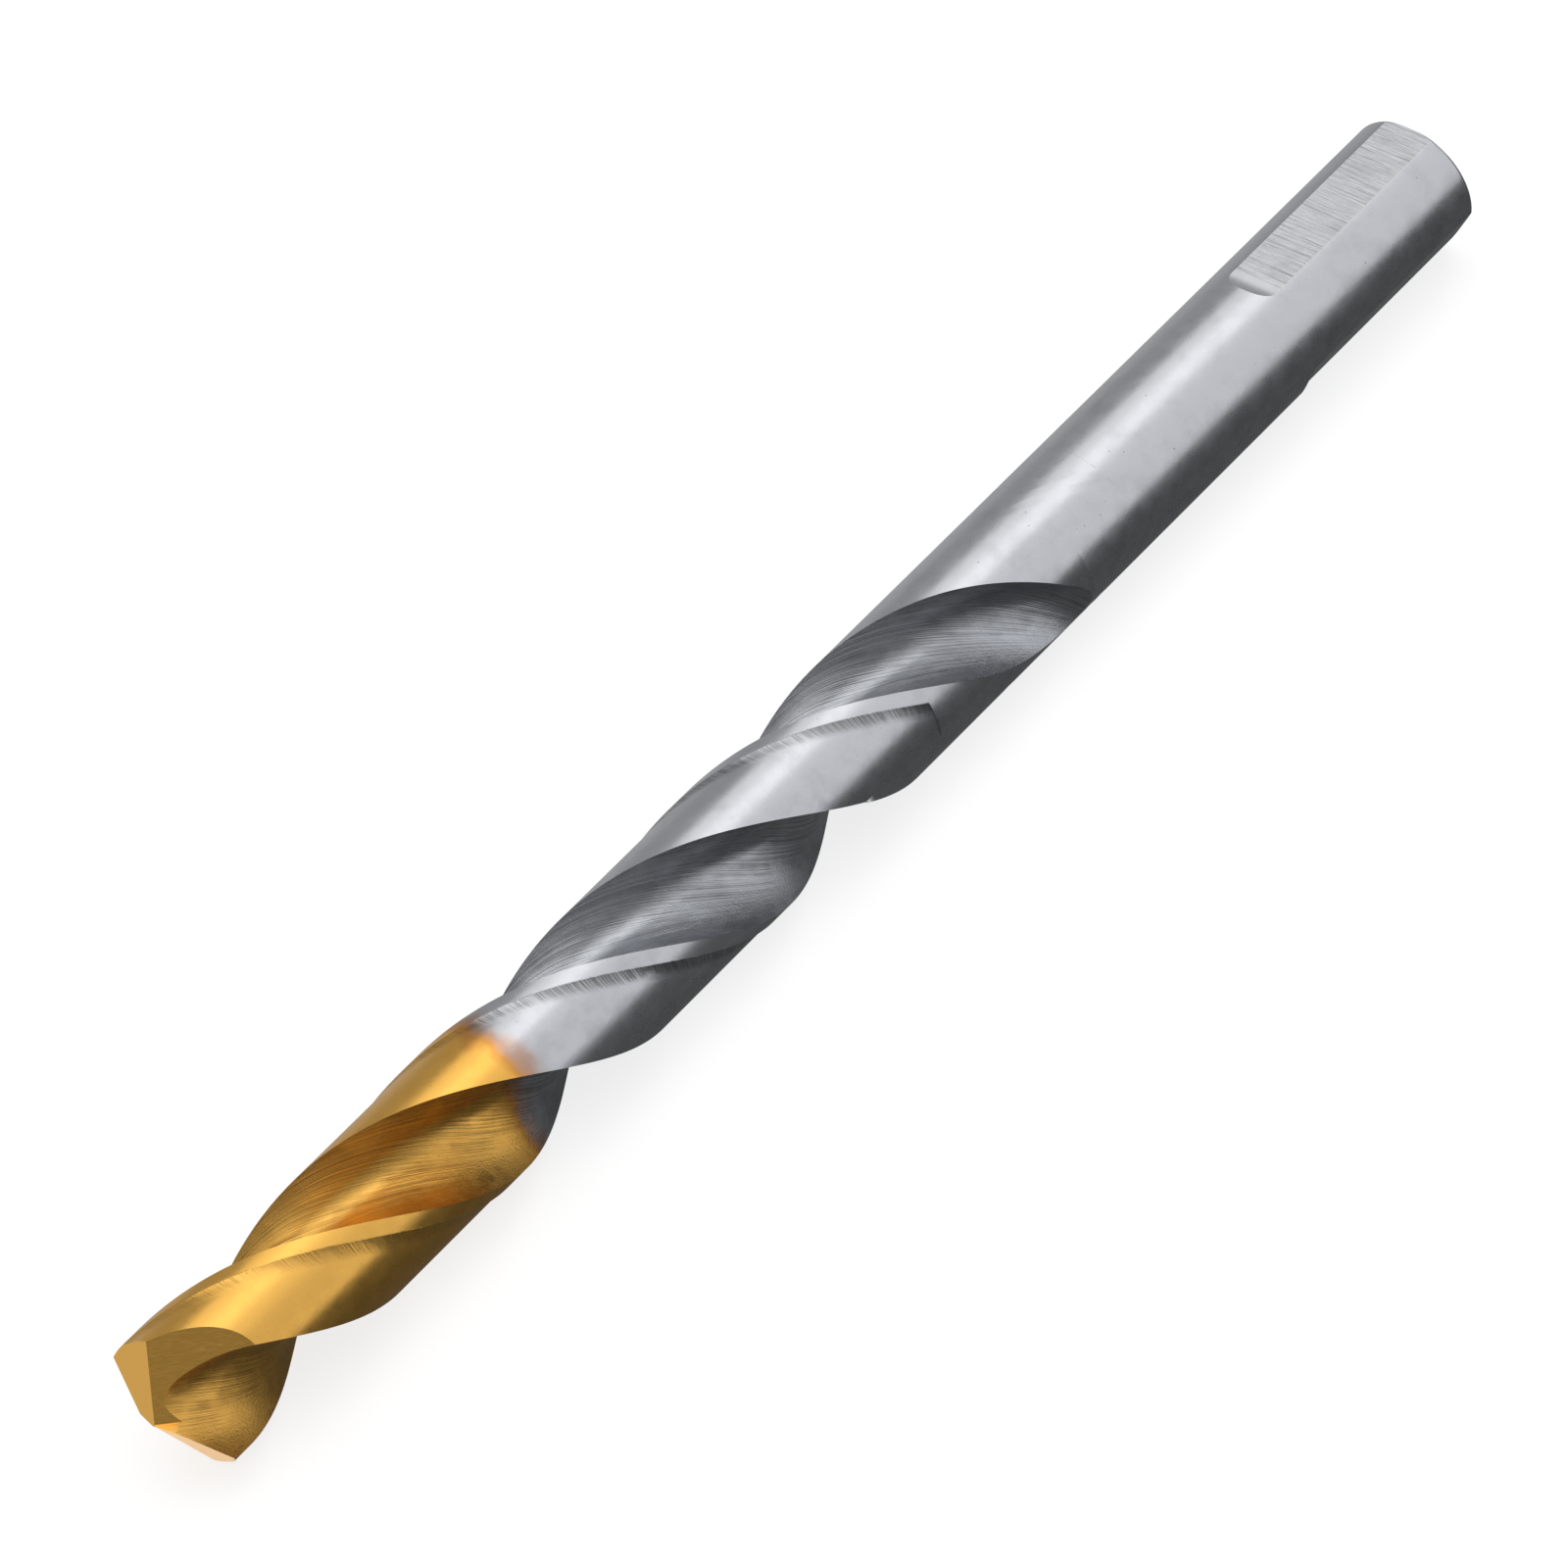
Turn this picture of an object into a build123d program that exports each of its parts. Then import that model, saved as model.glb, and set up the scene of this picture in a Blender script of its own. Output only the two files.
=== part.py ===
from build123d import *
import os
from math import asin, atan2, ceil, cos, degrees, hypot, pi, radians, sin, sqrt, tan

# Twist drill with a straight shank: right-hand spiral, split point, coated front and three
# drive flats. Millimetres and degrees. The drill lies on a surface with its axis along X,
# its point at -X and its shank end at +X; the first drive flat faces up (+Z).
# "Station" is the distance back from the point, measured along the axis.

# ---- Overall sizes -------------------------------------------------------------------
cutting_diameter = 10.0
back_taper = 0.1             # loss of diameter from the point to the shank
overall_length = 133.0
flute_length = 89.5          # station where the flutes have run out of the bar
weld_setback = 5.5           # from there to the weld between cutting steel and shank steel
coating_length = 33.0        # station where the coated front section ends

# ---- Flutes, lands and margins -------------------------------------------------------
helix_angle = 30.0
edge_angle = 10.1            # angle about +X of the first cutting edge, carried to station 0
web_thickness = 1.56         # core between the flutes at the point
web_taper = 0.0216           # growth of the core per millimetre of length
land_angle = 80.0            # cutting edge to heel at the point, about the axis
flute_floor_radius = 1.75    # hollow behind the core, on the heel side of a flute
runout_wheel_radius = 29.5   # grinding wheel that leaves the flute at its rear end
margin_width = 1.0           # full-diameter strip beside each cutting edge, square to it
clearance_depth = 0.15       # how far the land behind the margin is ground down
clearance_setback = 16.2     # the ground-down band stops this far short of the flutes' end
clearance_stop_arc = 27.0    # band width left by the grinding wheel where it stops

# ---- Point ---------------------------------------------------------------------------
point_angle = 135.0
relief_angle = 16.0          # first facet behind the lip
heel_facet_slope = 53.5      # second, steep facet, from a plane square to the axis
heel_facet_turn = 104.5      # direction of its slope, measured back from the lip
split_turn = 29.0            # the split wall, ahead of the lip
split_offset = 0.08          # half of the short chisel edge left between the split walls

# ---- Shank ---------------------------------------------------------------------------
flat_count = 3
flat_length = 18.0
flat_depth = 0.38
flat_wheel_radius = 2.2      # hollow ramp left where the flat starts
end_round = 0.4              # broken edge round the rear end

# ---- How the cutting tools are drawn ---------------------------------------------------
clear = 1.0                  # how far cutting tools stand proud of what they cut
section_pitch = 2.5          # spacing of the sections along a spiral
heel_overrun = 30.0          # degrees that the clearance cutter runs on over the open flute
rake_shares = (1.15, 0.85, 0.55, 0.3, 0.12, 0.0)  # points of a flute's cutting side, per lip

# ---- Derived values ------------------------------------------------------------------
cut_r = cutting_diameter / 2
shank_r = (cutting_diameter - back_taper) / 2
weld_station = flute_length + weld_setback
clearance_end = flute_length - clearance_setback
half_web = web_thickness / 2
lead = pi * cutting_diameter / tan(radians(helix_angle))
twist = 360.0 / lead                              # degrees per millimetre of length
nose = overall_length / 2                         # the point lies at X = -nose
blank_r = cut_r + clear
big = 3 * cutting_diameter                        # size of the half-space cutting blocks
lip_slope = 1 / tan(radians(point_angle / 2))     # rise of a lip along its own direction
relief_slope = tan(radians(relief_angle))
lip_reach = sqrt(cut_r**2 - half_web**2)          # lip length, seen along the axis
lip_set = half_web * relief_slope                 # lips' meeting height ahead of the chisel
corner_station = lip_reach * lip_slope - lip_set  # outer corner of a lip
corner_angle = edge_angle + twist * corner_station
lip_direction = corner_angle + degrees(asin(half_web / cut_r))
flute_half = (180.0 - land_angle) / 2             # half of a flute's opening
margin_angle = degrees(margin_width / cos(radians(helix_angle)) / cut_r)
clearance_band = land_angle - margin_angle + heel_overrun


def core_growth(station):
    """Rise of the flute floor from the web taper."""
    return web_taper / 2 * max(station, 0.0)


runout_rise = shank_r - half_web - core_growth(flute_length)
runout_run = sqrt(2 * runout_wheel_radius * runout_rise - runout_rise**2)
runout_start = flute_length - runout_run * cos(radians(helix_angle))


def runout_lift(station):
    """Rise of the flute floor where the round wheel leaves the bar."""
    along = max(station - runout_start, 0.0) / cos(radians(helix_angle))
    return runout_wheel_radius - sqrt(runout_wheel_radius**2 - along**2)


def section_plane(station):
    """Plane square to the axis: local x is world Y and local y is world Z."""
    return Plane(origin=(station - nose, 0, cut_r), x_dir=(0, 1, 0), z_dir=(1, 0, 0))


def turned(point, angle):
    """A flat point turned about the axis by an angle in degrees."""
    c, s = cos(radians(angle)), sin(radians(angle))
    return (point[0] * c - point[1] * s, point[0] * s + point[1] * c)


# ---- Blank ---------------------------------------------------------------------------
def ring(station, radius):
    """Circle about the axis, in two half arcs."""
    right, top, left = (radius, 0), (0, radius), (-radius, 0)
    upper = ThreePointArc(right, top, left)
    lower = ThreePointArc(left, (0, -radius), right)
    return section_plane(station) * Wire([upper, lower])


def bar_radius(station):
    """Radius of the cutting end, with its slight back taper."""
    return cut_r + (shank_r - cut_r) * station / weld_station


def cutting_bar():
    """Blank of the cutting end, from ahead of the point to the weld."""
    ends = [ring(station, bar_radius(station)) for station in (-clear, weld_station)]
    return Solid.make_loft(ends, ruled=True)


# ---- Flutes --------------------------------------------------------------------------
def rake_point(reach):
    """Point of the cutting side of a flute, in the frame whose +x is the flute's middle.

    The lip is a straight line half the web ahead of the centre, so each of its points is
    turned back by the twist that the spiral has made at that point's station."""
    r = hypot(reach, half_web)
    swing = degrees(atan2(half_web, reach)) - degrees(asin(half_web / cut_r))
    unwound = twist * (lip_reach - reach) * lip_slope
    angle = radians(flute_half - swing + unwound)
    return (r * cos(angle), r * sin(angle))


def flute_section(station, side):
    """Closed outline of one flute cutter where it meets a plane square to the axis."""
    foot = rake_point(0.0)
    foot_angle = degrees(atan2(foot[1], foot[0]))
    centre = turned((half_web + flute_floor_radius, 0.0), foot_angle)
    heel = turned((cut_r, 0.0), -flute_half)
    gap = hypot(centre[0] - heel[0], centre[1] - heel[1])
    run = sqrt(gap**2 - flute_floor_radius**2)
    aim = degrees(atan2(centre[1] - heel[1], centre[0] - heel[0]))
    aim += degrees(asin(flute_floor_radius / gap))
    way = turned((1.0, 0.0), aim)
    tangent_point = (heel[0] + run * way[0], heel[1] + run * way[1])
    foot_side = foot_angle + 180.0
    tangent_side = degrees(atan2(tangent_point[1] - centre[1], tangent_point[0] - centre[0]))
    middle = turned((flute_floor_radius, 0.0), (foot_side + tangent_side % 360.0) / 2)
    arc_middle = (centre[0] + middle[0], centre[1] + middle[1])
    heel_out = (heel[0] - clear * way[0], heel[1] - clear * way[1])
    rake = [rake_point(lip_reach * share) for share in rake_shares]

    lift = core_growth(station) + runout_lift(station)
    hold = degrees(asin(core_growth(station) * sin(radians(flute_half)) / cut_r))
    turn = side + edge_angle + twist * station - flute_half + hold
    far = blank_r + clear + lift

    def placed(point):
        return turned((point[0] + lift, point[1]), turn)

    edges = [
        Spline([placed(p) for p in rake]),
        ThreePointArc(placed(foot), placed(arc_middle), placed(tangent_point)),
        Line(placed(tangent_point), placed(heel_out)),
        Line(placed(heel_out), turned((far, heel_out[1]), turn)),
        Line(turned((far, heel_out[1]), turn), turned((far, rake[0][1]), turn)),
        Line(turned((far, rake[0][1]), turn), placed(rake[0])),
    ]
    return section_plane(station) * Wire(edges)


def carried(section, last):
    """Solid swept by a section that turns with the spiral, from ahead of the point."""
    first = -2 * clear
    steps = ceil((last - first) / section_pitch)
    stations = [first + (last - first) * i / steps for i in range(steps + 1)]
    return Solid.make_loft([section(station) for station in stations])


def flute_cutter(side):
    """Solid removed by one flute."""
    return carried(lambda station: flute_section(station, side), flute_length + 2 * clear)


# ---- Ground-down lands -----------------------------------------------------------------
def sector(station, inner_r, outer_r, start, end):
    """Part of a ring between two angles, square to the axis."""
    middle = (start + end) / 2
    inner = ThreePointArc(*[turned((inner_r, 0), a) for a in (start, middle, end)])
    outer = ThreePointArc(*[turned((outer_r, 0), a) for a in (end, middle, start)])
    sides = [Line(inner @ 1, outer @ 0), Line(outer @ 1, inner @ 0)]
    return section_plane(station) * Wire([inner, sides[0], outer, sides[1]])


def clearance_cutter(side):
    """Shallow band between a margin and the heel behind it, with the wheel's stop."""

    def section(station):
        start = side + edge_angle + margin_angle + twist * station
        inner_r = bar_radius(station) - clearance_depth
        return sector(station, inner_r, blank_r, start, start + clearance_band)

    stop = side + edge_angle + margin_angle + twist * clearance_end + clearance_stop_arc
    kept_length = clearance_band / twist
    kept = Solid.make_loft(
        [
            sector(station, cut_r / 2, blank_r + clear, stop, stop + clearance_band)
            for station in (clearance_end - kept_length, clearance_end + clear)
        ],
        ruled=True,
    )
    return carried(section, clearance_end) - kept


# ---- Point -----------------------------------------------------------------------------
def slope_plane(slope_angle, direction, offset=0.0):
    """Plane that rises towards +X by slope_angle in the given direction about the axis."""
    rise = tan(radians(slope_angle))
    uphill = turned((1.0, 0.0), direction)
    origin = (offset - nose, 0, cut_r)
    return Plane(origin=origin, z_dir=(1.0, -rise * uphill[0], -rise * uphill[1]))


def behind(plane):
    """Everything on the far side of a plane, as a block."""
    block = Box(big, big, big, align=(Align.CENTER, Align.CENTER, Align.MAX))
    return plane * block


def lip_facet(side):
    """First facet: it holds the straight lip and falls away behind it."""
    slope = degrees(atan2(hypot(lip_slope, relief_slope), 1.0))
    direction = lip_direction + degrees(atan2(relief_slope, lip_slope))
    return behind(slope_plane(slope, side + direction))


def split_facet(side):
    """Steep second facet behind the first, stopped by the wall that splits the web."""
    facet = behind(slope_plane(heel_facet_slope, side + lip_direction + heel_facet_turn))
    wall_angle = side + 180.0 + lip_direction - split_turn
    facing = turned((0.0, 1.0), wall_angle)
    origin = (-nose, -split_offset * facing[0], cut_r - split_offset * facing[1])
    wall = Plane(origin=origin, z_dir=(0.0, facing[0], facing[1]))
    return facet & behind(wall)


# ---- Shank -----------------------------------------------------------------------------
def flat_cutter(index):
    """One drive flat, with the hollow that a round-edged wheel leaves at its start."""
    seat = shank_r - flat_depth
    start = overall_length - flat_length - nose
    rear = nose + clear
    top = seat + flat_wheel_radius
    outline = [
        Line((start, seat), (rear, seat)),
        Line((rear, seat), (rear, top)),
        Line((rear, top), (start - flat_wheel_radius, top)),
        RadiusArc((start - flat_wheel_radius, top), (start, seat), -flat_wheel_radius),
    ]
    profile = Plane.XZ * make_face(Wire(outline))
    block = extrude(profile, amount=cutting_diameter / 2, both=True)
    turn = Rotation(360.0 * index / flat_count, 0, 0)
    return Pos(0, 0, cut_r) * turn * block


def with_flats(body):
    """A length of the drill with the drive flats ground on it, as far as they reach."""
    for index in range(flat_count):
        body -= flat_cutter(index)
    return body


def shank_bar():
    """Plain rear length behind the weld, with the edge of its end rounded off."""
    ends = [ring(weld_station, shank_r), ring(overall_length, shank_r)]
    bar = Solid.make_loft(ends, ruled=True)
    return fillet(bar.edges().group_by(Axis.X)[-1], end_round)


# ---- Cutting end -----------------------------------------------------------------------
def cutting_end():
    """Fluted length of the drill, ground to its point."""
    body = cutting_bar()
    for side in (0.0, 180.0):
        body -= flute_cutter(side)
    for side in (0.0, 180.0):
        body -= clearance_cutter(side)
    for side in (0.0, 180.0):
        body -= lip_facet(side)
    for side in (0.0, 180.0):
        body -= split_facet(side)
    return body


def behind_station(station):
    """Everything behind a plane square to the axis."""
    return Pos(station - nose, 0, cut_r) * Rotation(0, 90, 0) * Cylinder(
        big, overall_length, align=(Align.CENTER, Align.CENTER, Align.MIN)
    )


os.makedirs("parts", exist_ok=True)
whole_end = cutting_end()
pieces = {
    "coated_point": whole_end - behind_station(coating_length),
    "fluted_body": with_flats(whole_end & behind_station(coating_length)),
    "shank": with_flats(shank_bar()),
}
for name, piece in pieces.items():
    print(name, round(piece.volume, 1), "mm3")
    export_step(piece, f"parts/{name}.step")
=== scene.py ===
# %% [markdown]
# # A twist drill with a coated front
# The drill is one ground bar: a split point, two right-hand spiral flutes, a round shank and three
# drive flats. Its front is coated with gold titanium nitride and the rest is bare bright steel.
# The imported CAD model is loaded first. It fixes the size and place of everything made here.

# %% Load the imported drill
from math import asin, atan2, cos, hypot, pi, radians, sin, sqrt, tan
import bmesh
import bpy
import numpy as np
from mathutils import Matrix, Vector


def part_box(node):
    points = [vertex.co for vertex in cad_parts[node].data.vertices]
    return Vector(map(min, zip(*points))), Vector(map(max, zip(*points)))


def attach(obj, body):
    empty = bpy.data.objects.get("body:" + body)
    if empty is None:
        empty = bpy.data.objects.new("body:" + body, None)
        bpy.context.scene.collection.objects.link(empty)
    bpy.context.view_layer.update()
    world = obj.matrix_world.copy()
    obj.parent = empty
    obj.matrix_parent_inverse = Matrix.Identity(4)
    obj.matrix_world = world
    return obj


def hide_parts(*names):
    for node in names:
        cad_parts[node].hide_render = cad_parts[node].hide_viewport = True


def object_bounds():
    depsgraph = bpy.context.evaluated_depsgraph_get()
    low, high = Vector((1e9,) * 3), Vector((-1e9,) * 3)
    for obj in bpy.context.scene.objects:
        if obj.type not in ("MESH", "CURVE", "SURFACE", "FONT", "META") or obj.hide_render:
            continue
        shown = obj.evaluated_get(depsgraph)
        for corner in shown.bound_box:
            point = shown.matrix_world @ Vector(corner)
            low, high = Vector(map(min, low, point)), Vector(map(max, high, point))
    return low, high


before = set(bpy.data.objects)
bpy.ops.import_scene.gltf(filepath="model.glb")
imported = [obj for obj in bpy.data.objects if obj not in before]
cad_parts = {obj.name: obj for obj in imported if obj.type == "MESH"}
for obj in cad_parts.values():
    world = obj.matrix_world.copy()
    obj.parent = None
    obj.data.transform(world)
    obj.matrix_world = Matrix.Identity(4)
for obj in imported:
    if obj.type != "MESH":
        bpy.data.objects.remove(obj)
cad_box = [list(corner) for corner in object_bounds()]
print("CAD box, mm:", np.round(np.array(cad_box) * 1000, 3).tolist())

# %% [markdown]
# ## Sizes
# A drill is described by a few grinding settings, and every surface below is worked out from them.
# They are in millimetres and degrees, as on a tool drawing. A *station* is the distance back from
# the point. The front faces -X, the axis lies one radius above the floor, and the flutes turn
# about it like a screw thread with a very long pitch. The lengths are read from the CAD model.


# %% Lengths, read from the CAD model in millimetres
def station_of(x):
    """Distance back from the point, in mm, of a place along X in the shared frame."""
    return round((x - cad_box[0][0]) * 1000, 3)


LENGTH = station_of(cad_box[1][0])
COATED = station_of(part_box("coated_point")[1][0])   # rear end of the coated length
WELD = station_of(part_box("shank")[0][0])            # front end of the shank
print("length", LENGTH, "mm, coated to", COATED, "mm, shank from", WELD, "mm")

# %% Grinding settings, in millimetres and degrees
CUT_R, SHANK_R = 5.0, 4.95              # radius at the point, and behind the flutes
FLUTE_END = 89.5                        # station where the flutes have run out
HELIX = radians(30)
EDGE = radians(10.1)                    # turn of the first cutting edge at the point
HALF_WEB, TAPER = 0.78, 0.0108          # half of the core, and its growth per mm of length
FLOOR_R = 1.75                          # radius of the flute's floor
FLUTE_HALF = radians(50)                # half of a flute's opening about the axis
WHEEL_R = 29.5                          # flute grinding wheel, seen where it leaves the bar
LIP_SLOPE = 1 / tan(radians(67.5))      # half of the 135 degree point
RELIEF_SLOPE = tan(radians(16))         # fall of the first facet behind its lip

TWIST = 2 * tan(HELIX) / (2 * CUT_R)    # radians of turn per millimetre of length
LIP_REACH = sqrt(CUT_R**2 - HALF_WEB**2)
CORNER = LIP_REACH * LIP_SLOPE - HALF_WEB * RELIEF_SLOPE
print("the flutes turn once in", round(2 * pi / TWIST, 1), "mm; outer corners at", round(CORNER, 2))

# %% [markdown]
# ## The flute's outline
# Seen along the axis, a flute has three parts. The *rake side* is the trace of the straight
# cutting lip, so each of its points is turned back by the twist between the lip and the section.
# The *floor* is an arc that touches the core of the drill. A straight *heel side* leaves that arc
# and runs out to the back of the next land. A dense line through all three is made once, and every
# section of the drill is cut from it.

# %% The outline as one dense line
PART_POINTS = 1500                      # points in each of the three parts
PAST_EDGE, PAST_HEEL = 1.15, 1.5        # how far the line runs on outside the bar: share, and mm


def flute_outline():
    """Points of a flute in the frame whose +x is the flute's middle, and the length along it.

    Rake: radius = hypot(reach, half web), angle = half opening - lead of the lip + twist.
    Floor: a circle that touches the core at the rake's foot. Heel: its tangent through the heel."""
    reach = np.linspace(PAST_EDGE * LIP_REACH, 0, PART_POINTS)
    radius = np.hypot(reach, HALF_WEB)
    lead = np.arctan2(HALF_WEB, reach) - asin(HALF_WEB / CUT_R)
    angle = FLUTE_HALF - lead + TWIST * (LIP_REACH - reach) * LIP_SLOPE
    rake = np.stack([radius * np.cos(angle), radius * np.sin(angle)], 1)

    foot = angle[-1]
    centre = (HALF_WEB + FLOOR_R) * np.array([cos(foot), sin(foot)])
    heel = CUT_R * np.array([cos(FLUTE_HALF), -sin(FLUTE_HALF)])
    gap = hypot(*(centre - heel))
    aim = atan2(*(centre - heel)[::-1]) + asin(FLOOR_R / gap)
    way = np.array([cos(aim), sin(aim)])
    tangent = heel + sqrt(gap**2 - FLOOR_R**2) * way

    last = atan2(*(tangent - centre)[::-1]) % (2 * pi)
    turn = np.linspace(foot + pi, last, PART_POINTS)
    floor = centre + FLOOR_R * np.stack([np.cos(turn), np.sin(turn)], 1)
    share = np.linspace(0, 1, PART_POINTS)[:, None]
    straight = tangent + share * (heel - PAST_HEEL * way - tangent)
    points = np.concatenate([rake, floor[1:], straight[1:]])
    steps = np.hypot(*np.diff(points, axis=0).T)
    return points, np.concatenate([[0], np.cumsum(steps)])


outline, along = flute_outline()
foot_length = along[PART_POINTS - 1]
print("a flute is", round(along[-1], 1), "mm round; its floor starts at", round(foot_length, 2))

# %% [markdown]
# ## How the flute leaves the bar
# The core thickens a little towards the shank, which pushes the flute outwards. Near the end the
# grinding wheel lifts out along an arc, and that arc is what gives a drill its long, leaf-shaped
# run-out. Both are one number per station: how far the outline has moved out.

# %% Outward move of the flute, and the bar's own radius
rise_left = SHANK_R - HALF_WEB - TAPER * FLUTE_END
lift_off = FLUTE_END - sqrt(2 * WHEEL_R * rise_left - rise_left**2) * cos(HELIX)
print("the wheel starts to leave the bar at", round(lift_off, 1), "mm")


def bar_radius(station):
    """Straight line from the cutting radius at the point to the shank radius at the weld."""
    return CUT_R + (SHANK_R - CUT_R) * station / WELD


def flute_lift(station):
    """Taper of the core plus the circle on which the wheel leaves the bar."""
    climb = np.maximum(station - lift_off, 0) / cos(HELIX)
    return TAPER * np.maximum(station, 0) + WHEEL_R - np.sqrt(WHEEL_R**2 - climb**2)


def crossing(radius, limit, from_end):
    """Length along the outline where it first comes inside the limit radius, row by row.

    The nearest sample inside is found, and the step before it is divided in proportion."""
    radius = radius[:, ::-1] if from_end else radius
    length = along[::-1] if from_end else along
    first = np.maximum(np.argmax(radius < limit[:, None], 1), 1)
    row = np.arange(len(first))
    outer, inner = radius[row, first - 1], radius[row, first]
    share = np.clip((outer - limit) / np.maximum(outer - inner, 1e-9), 0, 1)
    found = length[first - 1] + share * (length[first] - length[first - 1])
    return np.where((radius < limit[:, None]).any(1), found, foot_length)


# %% [markdown]
# ## The land behind each cutting edge
# Only a narrow strip beside the edge, the *margin*, has the full diameter and guides the drill.
# Behind it the land is ground down by a fraction of a millimetre, so that it doesn't rub. That band
# stops before the flutes end, where the wheel was lifted.

# %% Sizes of the margin and of the ground-down band
MARGIN = 1.0                               # width of the strip beside the edge
STEP_W, STEP_H = 0.75, 0.15                # width and depth of the hollow step behind it
BAND_END, STOP_ARC = 73.3, radians(27)     # where the band stops: station, and turn past the edge
STOP_RAMP = 0.70 / CUT_R                   # lean of the wall at the stop, in radians of turn

margin_angle = MARGIN / cos(HELIX) / CUT_R
stop_turn = EDGE + margin_angle + TWIST * BAND_END + STOP_ARC
print("the margin takes", round(margin_angle * 180 / pi, 1), "degrees of the land")

# %% [markdown]
# ## Carrying the section along the spiral
# A swept surface could come from a screw modifier, but the core thickens and the wheel lifts out,
# so the section changes all the way. Here a whole grid is worked out with numpy: rows are stations,
# columns run round the drill. The columns start and end where the flute line crosses the bar's
# surface, so each cutting edge and each heel is a clean grid line.

# %% Columns of half the drill, and those of the flute
MARGIN_COLS, STEP_COLS, BAND_COLS, STOP_COLS, FLUTE_COLS = 8, 10, 30, 40, 96
LAND_COLS = MARGIN_COLS + STEP_COLS + BAND_COLS + STOP_COLS
PASS_ANGLE, LEAST_SLOPE = radians(34), 0.12   # slant of the wheel's passes over the flute


def flute_part(station, banded):
    """Flute columns from the cutting edge to the heel, row by row.

    Radius and angle of the outline moved out by the lift and turned by the twist; the wheel's
    pass, which is the station less the way across over its slope; the length along the outline;
    and which rows meet the heel only past the band's stop."""
    bar, lift = bar_radius(station), flute_lift(station)
    hold = np.arcsin(TAPER * np.maximum(station, 0) * sin(FLUTE_HALF) / CUT_R)
    turn = EDGE + TWIST * station - FLUTE_HALF + hold
    radius = np.hypot(outline[None, :, 0] + lift[:, None], outline[None, :, 1])

    edge_at = crossing(radius, bar, False)
    heel_at = crossing(radius, bar - STEP_H * banded, True)
    heel_x, heel_y = [np.interp(heel_at, along, outline[:, i]) for i in (0, 1)]
    stopped = banded & (np.arctan2(heel_y, heel_x + lift) + turn + pi > stop_turn)
    heel_at = np.where(stopped, crossing(radius, bar, True), heel_at)

    share = np.linspace(0, 1, FLUTE_COLS)[None, :]
    at = edge_at[:, None] + share * (heel_at - edge_at)[:, None]
    x, y = [np.interp(at, along, outline[:, i]) for i in (0, 1)]
    wheel_pass = station[:, None] - y / np.maximum(tan(PASS_ANGLE) - TWIST * x, LEAST_SLOPE)
    x = x + lift[:, None]
    flute_r, flute_a = np.hypot(x, y), np.arctan2(y, x) + turn[:, None]
    run_out = ~(radius < bar[:, None]).any(1)
    flute_r[run_out] = bar[run_out, None]
    return flute_r, flute_a, wheel_pass, at, stopped


# %% Columns of the land
def land_part(station, banded, stopped, edge_turn, heel_turn):
    """Land columns from the cutting edge back to the next flute's heel, row by row.

    Margin: the bar's radius. Step: a parabola down to the step's depth. Band: that depth as far
    as the stop. Past the stop: the bar's radius again. Gives radius, angle, way along the spiral
    and distance back from the cutting edge."""
    line = (EDGE + margin_angle + TWIST * station)[:, None]
    margin_end = np.clip(line, edge_turn, heel_turn)
    step_end = np.minimum(margin_end + STEP_W / cos(HELIX) / CUT_R, heel_turn)
    stop_at = np.clip(stop_turn, step_end, heel_turn)
    parts = [
        (edge_turn, margin_end, MARGIN_COLS),
        (margin_end, step_end, STEP_COLS),
        (step_end, stop_at, BAND_COLS),
        (np.minimum(stop_at + STOP_RAMP, heel_turn), heel_turn, STOP_COLS),
    ]
    angle = np.concatenate([a + (b - a) * np.linspace(0, 1, n) for a, b, n in parts], 1)
    back = (angle - line + margin_angle) * CUT_R * cos(HELIX)
    slope = np.clip((back - MARGIN) / STEP_W, 0, 1)
    drop = STEP_H * (1 - (1 - slope) ** 2) * banded[:, None]
    past_stop = np.arange(LAND_COLS) >= LAND_COLS - STOP_COLS
    drop = np.where(past_stop[None, :] & stopped[:, None], 0, drop)
    spiral = np.broadcast_to(station[:, None] / cos(HELIX), angle.shape)
    return bar_radius(station)[:, None] - drop, angle, spiral, back


# %% The whole section, all the way round
def spiral_grid(station, banded):
    """Both halves of the drill as points (station, y, z) and two surface coordinates in mm.

    Each half is a land followed by the flute before it, run backwards. The first coordinate
    counts the wheel's passes, so grinding lines are where it is constant; the second is the
    distance along the outline, or back from the cutting edge on the land."""
    *flute, stopped = flute_part(station, banded)
    land = land_part(station, banded, stopped, flute[1][:, :1], flute[1][:, -1:] + pi)
    flute[1] = flute[1] + pi
    half = [np.concatenate([first, last[:, ::-1]], 1) for first, last in zip(land, flute)]
    radius, angle, first, second = half
    angle = np.concatenate([angle, angle + pi], 1)
    radius = np.concatenate([radius, radius], 1)
    along_axis = np.broadcast_to(station[:, None], radius.shape)
    points = np.stack([along_axis, radius * np.cos(angle), radius * np.sin(angle)], -1)
    coords = np.stack([np.tile(first, 2), np.tile(second, 2)], -1)
    return points, coords


# %% [markdown]
# ## From a grid to a closed mesh
# A grid of quads closed into a tube, with one face over each end, is a solid skin. Columns that
# lie on the same line are merged, so no edge is doubled. Two surface coordinates go into a UV map,
# in millimetres, because the grinding lines of the finish have to follow the spiral. Each face
# also gets a *zone*, which is the number of the finish that it wears.

# %% A closed skin from a grid
FLUTE_ZONE, LAND_ZONE, END_ZONE, ROUND_ZONE = 0, 1, 2, 3


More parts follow.
